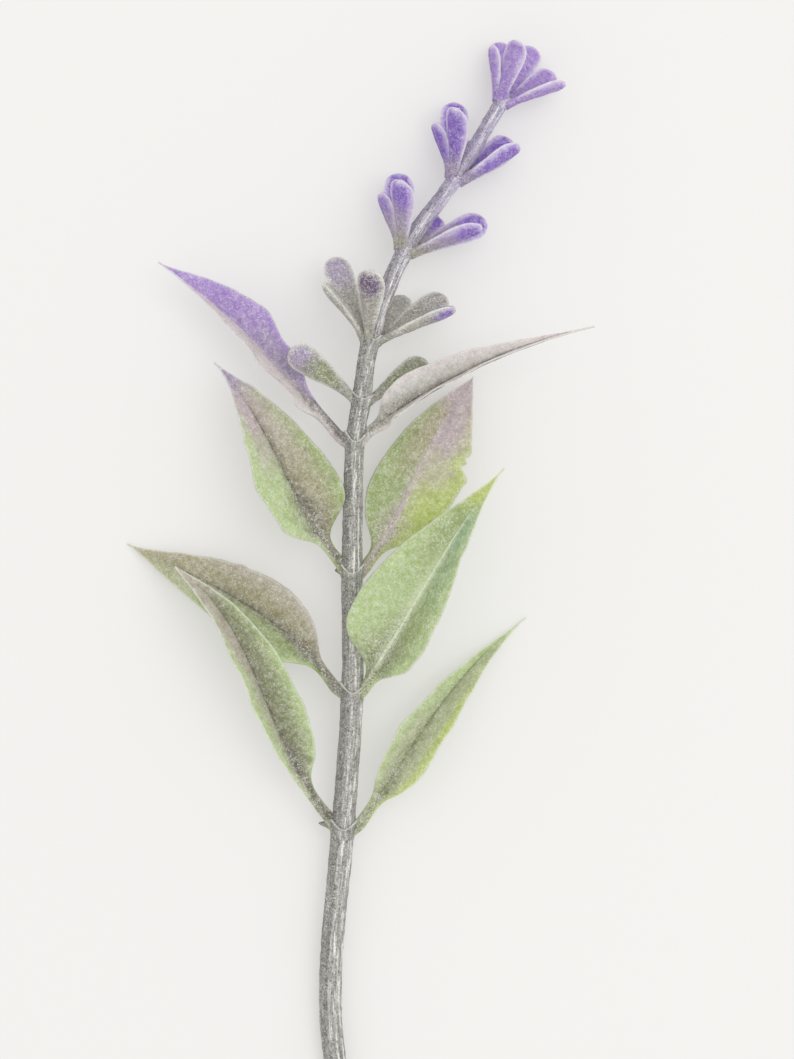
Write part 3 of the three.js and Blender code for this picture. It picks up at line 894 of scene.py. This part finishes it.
def collar_piece(name, station_name, shape, dip, scallops, lip, material):
    """A saddle-shaped collar: it grows out of the stem, and its rim dips in front."""
    middle, heading, radius, share = station(station_name)
    right, up = cross_axes(heading)
    sides, walls = 72, 26
    turn = np.arange(sides) * 2 * math.pi / sides
    rim_height = shape["up"] * (0.55 + 0.95 * np.abs(np.sin(turn)) ** 2)
    rim_height = rim_height - dip * np.abs(np.cos(turn)) ** 3
    rim_height = rim_height + 0.12 * np.cos(turn * scallops + 0.4)
    rim_height = rim_height + 0.08 * wander(turn * 1.7, 1.0, share * 9)
    v = np.linspace(0, 1, walls)
    low = -shape["down"] - 0.35
    height = low + (rim_height - low) * v[:, None]
    swell = lerp(0.02, COLLAR_STAND, smooth(v, 0.0, 0.7)) + lip * bell(v - 0.96, 0.06)
    outer = radius * squared(turn) + swell[:, None]
    if name in NUBS:
        at, level, far = NUBS[name]
        away = np.abs(np.angle(np.exp(1j * (turn - at))))
        outer = outer + far * bell(away, 0.32) * bell(height - level, 0.55)
    surface = np.stack([np.cos(turn) * outer, np.sin(turn) * outer, height], -1)
    outer = outer + 0.05 * rough(surface, 0.9, 3, share * 31)
    # Inside the stem, out of sight, four more rings lead back to the first.
    inner = np.full((4, sides), radius * 0.55)
    inner[0] = radius * squared(turn) + COLLAR_STAND * 0.45
    inner[1] = radius * squared(turn) - 0.12
    inner_height = np.stack([rim_height - 0.02, rim_height - 0.5, rim_height - 0.9,
                             np.full(sides, low + 0.3)])
    reach = np.concatenate([outer, inner])
    level = np.concatenate([height, inner_height])
    grid = middle + heading * level[..., None] + spokes(right, up, turn) * reach[..., None]
    rows = len(reach)
    # The rim mask marks the painted glow of light through the collar's thin top edge.
    rim = np.zeros((rows, sides))
    rim[:walls] = bell(v - 1.0, 0.09)[:, None]
    rim[walls] = 0.9
    # The collars share the stem's painted light: painted shade on the left, paler on the lit right.
    masks = {
        "spike": np.full((rows, sides), spike_share(share)),
        "dusted": np.broadcast_to(painted_light_by_turn(turn), (rows, sides)),
        "rim": rim,
    }
    sweep = np.stack([np.broadcast_to((turn * 1.9), reach.shape), level + middle[1]], -1)
    make_piece("look_" + name, name, grid, masks, sweep, material, ring=True)


def spike_share(share):
    """The share of the stem's length, from a share of its stations."""
    dense = np.linspace(0, 1, 2001)
    run = run_along(stem_point(dense))
    return float(np.interp(share, dense, run) / run[-1])


class SPIKE_OT_collars(Operator):
    """Build the collars that hold the leaf pairs and the whorls of buds"""

    bl_idname = "spike.build_collars"
    bl_label = "Build Collars"

    def execute(self, context):
        lip = size("collar_lip")
        material = stem_material("collar_frosted", streaks=0.5, frost=0.4)
        for n in (1, 2, 3, 4):
            collar_piece(f"leaf_collar_{n}", f"leaves_{n}", LEAF_COLLAR, 0.7, 2, lip, material)
        for n in (1, 2, 3, 4, 5):
            scallops = 2 if n == 1 else 6
            collar_piece(f"bud_collar_{n}", f"buds_{n}", BUD_COLLAR, 0.25, scallops, lip, material)
        return {"FINISHED"}


# ----------------------------------------------------------------------- the leaves
# Places where a margin steps out or in: the half, the share of the length, the share
# of it that the step takes, and how far out it goes in mm.
MARGIN_STEPS = {
    "leaf_3_left": (("left", 0.62, 0.03, 0.35), ("left", 0.5, 0.04, -0.3), ("right", 0.82, 0.03, 0.3)),
    "leaf_3_right": (("right", 0.585, 0.02, -1.0), ("right", 0.63, 0.012, -0.7),
                     ("right", 0.53, 0.02, 0.35), ("right", 0.68, 0.02, 0.3)),
    "leaf_4_left": (("right", 0.43, 0.05, -0.7), ("right", 0.55, 0.05, 0.35)),
    "leaf_2_left": (("right", 0.55, 0.02, 0.2), ("left", 0.3, 0.03, 0.2)),
}


def bearing(heading, rise):
    """The direction of a heading in plan and a rise above the level, in degrees."""
    h, r = math.radians(heading), math.radians(rise)
    return np.array((math.cos(r) * math.cos(h), math.cos(r) * math.sin(h), math.sin(r)))


def turned(a, b, angle):
    """Two directions square to each other, both turned from the first to the second."""
    return (a * math.cos(angle) + b * math.sin(angle), b * math.cos(angle) - a * math.sin(angle))


def midrib_of(name, spec):
    """The four control points of a midrib, from its foot, its tip and its bearings."""
    middle = np.array(STATIONS["leaves_" + name.split("_")[1]][0])
    foot, tip = middle + spec["foot"], middle + spec["tip"]
    handle = MIDRIB_HANDLE * np.linalg.norm(tip - foot)
    return np.array((foot, foot + bearing(*spec["sets_off"]) * handle,
                     tip - bearing(*spec["arrives"]) * handle, tip))


def midrib_point(p, t):
    """A point on a leaf's midrib."""
    t = t[:, None]
    return (1 - t) ** 3 * p[0] + 3 * (1 - t) ** 2 * t * p[1] + 3 * (1 - t) * t * t * p[2] + t ** 3 * p[3]


def midrib_heading(p, t):
    """The midrib's direction."""
    t = t[:, None]
    return unit((1 - t) ** 2 * (p[1] - p[0]) + 2 * (1 - t) * t * (p[2] - p[1]) + t * t * (p[3] - p[2]))


def outline(share, belly, taper):
    """The share of its full width that a blade has, a share of the way along it."""
    widest = belly / (belly + taper)
    full = widest ** belly * (1 - widest) ** taper
    return share ** belly * (1 - share) ** taper / full


def soften(values, at, reach):
    """Values at places along a line, averaged over a reach either way."""
    near = bell(at[:, None] - at, reach) * np.gradient(at)
    return near @ values / near.sum(1)


STALK_RUN = 0.06  # how far the stalk runs on inside its collar, over the leaf's length
SOFT_REACH = 0.045  # how far a leaf's outline is softened, over the leaf's length
VEIN_GAP = 4.4  # between two side veins, along the midrib in mm


def leaf_piece(name, spec, seed):
    """One leaf: a stalk that runs on as the midrib of a blade folded along it."""
    half_cols = 56
    # Rows lie closer together at the stalk and at the tip than along the blade.
    t = np.concatenate([np.linspace(-STALK_RUN, 0.0, 14)[:-1], np.linspace(0.0, 0.25, 44)[:-1],
                        np.linspace(0.25, 0.9, 95)[:-1], np.linspace(0.9, 1.0, 41)])
    u = np.linspace(1, -1, half_cols + 1)
    s_top = np.sign(u) * np.abs(u) ** 1.3
    s = np.concatenate([s_top, s_top[-2:0:-1]])
    face = np.concatenate([np.ones(half_cols + 1), -np.ones(half_cols - 1)])
    face[[0, half_cols]] = 0.0
    midrib = midrib_of(name, spec)
    start, heading = midrib_point(midrib, t.clip(0, 1)), midrib_heading(midrib, t.clip(0, 1))
    # Before its foot the stalk bends in towards the stem, which it has grown out of.
    middle, direction, stem_r, _ = station("leaves_" + name.split("_")[1])
    aside = midrib[0] - middle
    aside = unit(aside - direction * aside.dot(direction))
    root = middle - direction * 0.7 + aside * (stem_r - 0.75)
    back = np.clip(-t / STALK_RUN, 0, 1)[:, None]
    inner = midrib[0] - heading[0] * 0.9
    bent = (1 - back) ** 2 * midrib[0] + 2 * (1 - back) * back * inner + back ** 2 * root
    start = np.where(t[:, None] < 0, bent, start)
    right, up = cross_axes(heading)
    right, up = turned(right, up, math.radians(spec["roll"]))
    pet = spec["petiole"]
    blade = smooth(t, pet * 0.8, pet + 0.08)
    share = np.clip((t - pet * 0.8) / (1 - pet * 0.8), 0, 0.9985)
    chord = np.linalg.norm(np.subtract(spec["tip"], spec["foot"]))
    run = t * chord * 1.04
    saddle = smooth(0.05 - t, 0.0, 0.05 + STALK_RUN)
    foot_width = size("petiole_width") / 2 * (1 + 0.25 * saddle)
    foot_depth = size("petiole_depth") / 2 * (1 + 0.15 * saddle)
    # Each half's outline is softened, most where it leaves the stalk.
    soft = SOFT_REACH * (1 - smooth(t, 0.4, 1.0)).clip(0.15)[:, None]
    width = {}
    for k, side in enumerate(("left", "right")):
        full, belly, taper = spec[side]
        w = full * outline(share, belly, taper)
        w = soften(lerp(foot_width, w, blade), t, soft)
        w = w + 0.09 * wander(run, 1.6, seed + k) * smooth(w, 0.5, 2.0)
        w = w + 0.16 * wander(run, 6.0, seed + 5 + k) * smooth(w, 0.5, 3.0)
        for where, at, span, out in MARGIN_STEPS.get(name, ()):
            if where == side:
                w = w + out * bell(t - at, span)
        width[side] = np.maximum(w, lerp(0.5, 0.13, t.clip(0, 1)))
    w = np.where(s < 0, width["left"][:, None], width["right"][:, None])
    off = np.abs(s) * w
    lift = math.radians(spec["fold"]) * blade[:, None]
    # The fold opens out towards the margins, so each half is a shallow arch.
    arch = 0.22 * np.sin(np.pi * np.abs(s)) * w / 6.0 * blade[:, None]
    wave_room = size("margin_wave") * smooth(w, 1.0, 5.0) * blade[:, None] * np.abs(s) ** 2.2
    phase = np.where(s < 0, 0.0, 2.1)
    wave = wave_room * (0.6 * np.sin(run[:, None] * 0.62 + phase + seed)
                        + 0.8 * np.where(s < 0, wander(run, 4.5, seed + 9)[:, None],
                                         wander(run, 4.5, seed + 12)[:, None]))
    # Side veins leave the midrib at a slant and bend forward to the margin.
    slant = run[:, None] - off * 0.95 - 0.14 * off ** 2
    slant = slant + np.where(s < 0, 0.0, 0.45 * VEIN_GAP) + 0.3 * wander(run, 5.0, seed + 20)[:, None]
    cycle = slant / VEIN_GAP
    to_vein = np.abs(cycle - np.round(cycle)) * VEIN_GAP * 0.72
    vein = bell(to_vein, 0.17) * smooth(off, 0.3, 1.0) * smooth(w - off, 0.2, 1.4)
    vein = vein * (blade * smooth(1 - t, 0.04, 0.2))[:, None]
    puff = -0.025 * np.cos(2 * math.pi * cycle) * smooth(off, 0.4, 1.6) * smooth(w - off, 0.0, 1.5)
    puff = puff * blade[:, None]
    rib_half = lerp(foot_width * 0.62, 0.2, smooth(t, 0.05, 0.75))[:, None]
    rib = bell(off, rib_half) * blade[:, None]
    rib_fade = smooth(1 - t, 0.0, 0.35)[:, None]
    rib_top = spec["rib"] * bell(off, lerp(0.42, 0.2, smooth(t, 0.2, 0.9))[:, None]) * rib_fade
    rib_under = 0.34 * rib * rib_fade
    blade_half = lerp(size("blade_rib"), size("blade_margin"), np.abs(s) ** 1.5) / 2
    blade_half = blade_half * lerp(1.0, 0.75, t.clip(0, 1))[:, None]
    stalk_half = foot_depth[:, None] * np.sqrt(np.clip(1 - s ** 2, 0.0, 1.0))
    half = lerp(stalk_half, blade_half, blade[:, None])
    half = half + 0.45 * foot_depth[:, None] * rib * (1 - smooth(t, pet, pet + 0.3))[:, None]
    grain = right[:, None] * (s[None, :, None] * w[..., None]) + start[:, None]
    skin = rough(grain, 1.1, 3, seed + 30) * 0.035 + rough(grain, 3.5, 2, seed + 40) * 0.12 * blade[:, None]
    top = np.where(face > 0, half + rib_top - size("vein_depth") * vein, 0.0)
    under = np.where(face < 0, -(half + rib_under + 0.6 * size("vein_depth") * vein), 0.0)
    lifted = off * np.sin(lift) + (arch + wave + puff) * np.cos(lift) + skin + top + under
    # Near the midrib the sharp valley is eased, as in a moulding.
    ease = 0.22 * bell(off, 0.35) * np.sin(lift)
    lifted = lifted + ease
    across = np.sign(s) * (off * np.cos(lift) - (arch + wave) * np.sin(lift))
    grid = start[:, None] + right[:, None] * across[..., None] + up[:, None] * lifted[..., None]
    grid[..., 2] = np.maximum(grid[..., 2], FLOOR)
    shape = (len(t), len(s))
    # The rim mask marks the painted glow of light through the thin margins.
    rim = bell(w - off, 0.24) * blade[:, None]
    masks = {
        "along": np.broadcast_to(t[:, None], shape),
        "across": np.broadcast_to(s, shape),
        "rim": rim,
        "rib": rib * rib_fade,
        "vein": vein,
    }
    sweep = np.stack([np.sign(s) * off, np.broadcast_to(run[:, None], shape)], -1)
    make_piece("look_" + name, name, grid, masks, sweep, leaf_material(name))


class SPIKE_OT_leaves(Operator):
    """Build the four pairs of folded leaves with their stalks, ribs and veins"""

    bl_idname = "spike.build_leaves"
    bl_label = "Build Leaves"

    def execute(self, context):
        for k, (name, spec) in enumerate(LEAVES.items()):
            leaf_piece(name, spec, 3.7 * (k + 1))
        return {"FINISHED"}


# ------------------------------------------------------------------------- the buds
def bud_piece(name, whorl, width, spec, seed):
    """One bud: a paddle with a thick core and a thin flange, bent at its foot into
    the collar."""
    heading, rise, reach, spin = spec
    middle, direction, radius, _ = station(f"buds_{whorl}")
    to_tip = reach * bearing(heading, rise)
    outward = unit(to_tip - direction * to_tip.dot(direction))
    foot = direction * (BUD_COLLAR["up"] + FOOT_GAP + FOOT_LIFT)
    foot = foot + outward * (radius + FOOT_GAP + FOOT_STALK / 2)
    axis = unit(to_tip - foot)
    face = unit(outward - axis * outward.dot(axis))
    side = np.cross(axis, face)
    face, side = turned(face, side, math.radians(spin))
    root = direction * -0.3 + outward * (radius - 0.25)
    bend = foot + axis * 0.8
    rows, cols = 64, 48
    q = (1 - (1 - np.linspace(0, 1, rows)) ** 1.6)[:, None]
    line = (1 - q) ** 2 * root + 2 * (1 - q) * q * bend + q ** 2 * to_tip
    run = run_along(line)
    total = run[-1]
    curl = 0.5 * smooth(run, total * 0.3, total) * wander(np.array([seed * 3.3]), 1.0, 7.0)[0]
    line = line + face * curl[:, None]
    swell = smooth(run, 0.04 * total, 0.78 * total)
    head_length = 0.6 * width
    head = np.clip((run - total + head_length) / head_length, 0, 1)
    round_off = np.sqrt(np.clip(1 - head ** 2.1, 0.0, 1.0))
    round_off[-1] = 0.06
    foot_half = size("bud_foot") / 2
    breadth = (0.56 if whorl < 3 else 0.6) * width
    half = lerp(foot_half * (1 if whorl < 3 else 1.3), breadth, swell) * round_off
    half = half * (1 + 0.035 * wander(run, 2.2, seed))
    depth = lerp(foot_half * 0.85, width * 0.21, swell) * np.sqrt(round_off)
    flange = lerp(foot_half * 0.5, size("bud_flange") / 2, swell) * np.sqrt(round_off)
    turn = np.arange(cols) * 2 * math.pi / cols
    s = np.sin(turn)
    c = np.cos(turn)
    bulk = np.exp(-((np.abs(s) / 0.66) ** 4))
    tall = (flange[:, None] + (depth - flange)[:, None] * bulk) * (np.sign(c) * np.abs(c) ** 0.5)
    wide = half[:, None] * (np.sign(s) * np.abs(s) ** 0.9)
    # The flange cups a little towards the stem, and the front face has a shallow channel.
    cup = -0.35 * (np.abs(s) ** 2) * (width / 4.0) * swell[:, None] * round_off[:, None]
    channel = -0.16 * bell(s, 0.2) * (c > 0) * (smooth(run, 1.0, 4.0) * round_off)[:, None]
    skin = middle + line[:, None] + side * wide[..., None] + face * tall[..., None]
    lumps = rough(skin, 0.9, 3, seed + 4) * 0.05 + rough(skin, 2.6, 2, seed + 8) * 0.1
    tall = tall + cup + channel + lumps * np.sign(c) * (np.abs(c) > 0.1)
    grid = middle + line[:, None] + side * wide[..., None] + face * tall[..., None]
    grid[..., 2] = np.maximum(grid[..., 2], FLOOR)
    shape = (rows, cols)
    spread = (np.abs(s) ** 0.9) * np.ones(shape)
    tip_gap = np.broadcast_to((total - run)[:, None], shape)
    edge = np.minimum(half[:, None] * (1 - spread), tip_gap)
    # The rim mask marks the painted glow of light through the bud's thin edges.
    masks = {
        "along": np.broadcast_to((run / total)[:, None], shape),
        "across": np.broadcast_to((np.sign(s) * np.abs(s) ** 0.9), shape),
        "brow": np.broadcast_to(smooth(run, total - 1.7, total)[:, None], shape),
        "rim": bell(edge, 0.16) * smooth(run, 0.12 * total, 0.4 * total)[:, None],
    }
    sweep = np.stack([wide, np.broadcast_to(run[:, None], shape)], -1)
    make_piece("look_" + name, name, grid, masks, sweep, bud_material(name, whorl))


class SPIKE_OT_buds(Operator):
    """Build the whorls of paddle-shaped buds"""

    bl_idname = "spike.build_buds"
    bl_label = "Build Buds"

    def execute(self, context):
        for whorl, (width, buds) in WHORLS.items():
            for k, (side, spec) in enumerate(buds.items()):
                bud_piece(f"bud_{whorl}_{side}", whorl, width, spec, whorl * 10.0 + k * 1.7)
        return {"FINISHED"}


# ------------------------------------------------------------------------ the stage
class SPIKE_OT_stage(Operator):
    """Set out the pale surface, the soft light and the camera above"""

    bl_idname = "spike.set_stage"
    bl_label = "Set Stage"

    def execute(self, context):
        scene = context.scene
        mesh = bpy.data.meshes.new("surface")
        corners = [(x * SURFACE_REACH, y * SURFACE_REACH, 0) for x, y in ((-1, -1), (1, -1), (1, 1), (-1, 1))]
        mesh.from_pydata(corners, [], [(0, 1, 2, 3)])
        surface = bpy.data.objects.new("surface", mesh)
        scene.collection.objects.link(surface)
        paper = bpy.data.materials.new("paper")
        paper.use_nodes = True
        shader = paper.node_tree.nodes["Principled BSDF"]
        # The surface glows a little, like a lit sweep, which keeps the shadows faint.
        shade = (*(SURFACE_SHADE * part for part in paint("paper")), 1.0)
        shader.inputs["Base Color"].default_value = shade
        shader.inputs["Emission Color"].default_value = (*paint("paper"), 1.0)
        shader.inputs["Emission Strength"].default_value = SURFACE_GLOW
        shader.inputs["Roughness"].default_value = 0.9
        shader.inputs["Specular IOR Level"].default_value = 0.1
        mesh.materials.append(paper)

        world = bpy.data.worlds.new("soft_room")
        world.use_nodes = True
        back = world.node_tree.nodes["Background"]
        back.inputs["Color"].default_value = (*ROOM_COLOUR, 1.0)
        back.inputs["Strength"].default_value = ROOM_LIGHT
        scene.world = world

        lamp = bpy.data.lights.new("skylight", "AREA")
        lamp.shape = "DISK"
        lamp.size = LAMP_SIZE
        lamp.energy = LAMP_POWER
        held = bpy.data.objects.new("skylight", lamp)
        scene.collection.objects.link(held)
        held.location = LAMP_PLACE
        held.rotation_euler = (-Vector(LAMP_PLACE)).to_track_quat("-Z", "Y").to_euler()

        low, high = (Vector(corner) for corner in CAD_BOX)
        middle = (low + high) / 2
        eye = bpy.data.cameras.new("above")
        eye.sensor_width = SENSOR_WIDTH
        eye.lens = CAMERA_LENS
        eye.clip_start = 0.01
        camera = bpy.data.objects.new("above", eye)
        scene.collection.objects.link(camera)
        camera.location = (middle.x + CAMERA_ASIDE[0], middle.y + CAMERA_ASIDE[1], CAMERA_HEIGHT)
        scene.camera = camera
        scene.view_settings.view_transform = "Standard"
        return {"FINISHED"}


class SPIKE_PT_panel(Panel):
    """The spike's sizes, colours and builders"""

    bl_idname = "SPIKE_PT_panel"
    bl_label = "Lavender Spike"
    bl_space_type = "VIEW_3D"
    bl_region_type = "UI"
    bl_category = "Lavender"

    def draw(self, context):
        for settings in (context.scene.spike_sizes, context.scene.spike_colours):
            box = self.layout.box()
            for key in settings.bl_rna.properties.keys():
                if key not in ("rna_type", "name"):
                    box.prop(settings, key)
        for operator in BUILDERS:
            self.layout.operator(operator.bl_idname)


BUILDERS = (SPIKE_OT_stem, SPIKE_OT_collars, SPIKE_OT_leaves, SPIKE_OT_buds, SPIKE_OT_stage)
CLASSES = (SpikeSizes, SpikeColours, *BUILDERS, SPIKE_PT_panel)


def register():
    for cls in CLASSES:
        bpy.utils.register_class(cls)
    bpy.types.Scene.spike_sizes = PointerProperty(type=SpikeSizes)
    bpy.types.Scene.spike_colours = PointerProperty(type=SpikeColours)


def unregister():
    del bpy.types.Scene.spike_colours
    del bpy.types.Scene.spike_sizes
    for cls in reversed(CLASSES):
        bpy.utils.unregister_class(cls)


def main():
    """Build every piece."""
    register()
    bpy.ops.spike.build_stem()
    bpy.ops.spike.build_collars()
    bpy.ops.spike.build_leaves()
    bpy.ops.spike.build_buds()
    bpy.ops.spike.set_stage()
    bpy.context.view_layer.update()


if __name__ == "__main__":
    main()
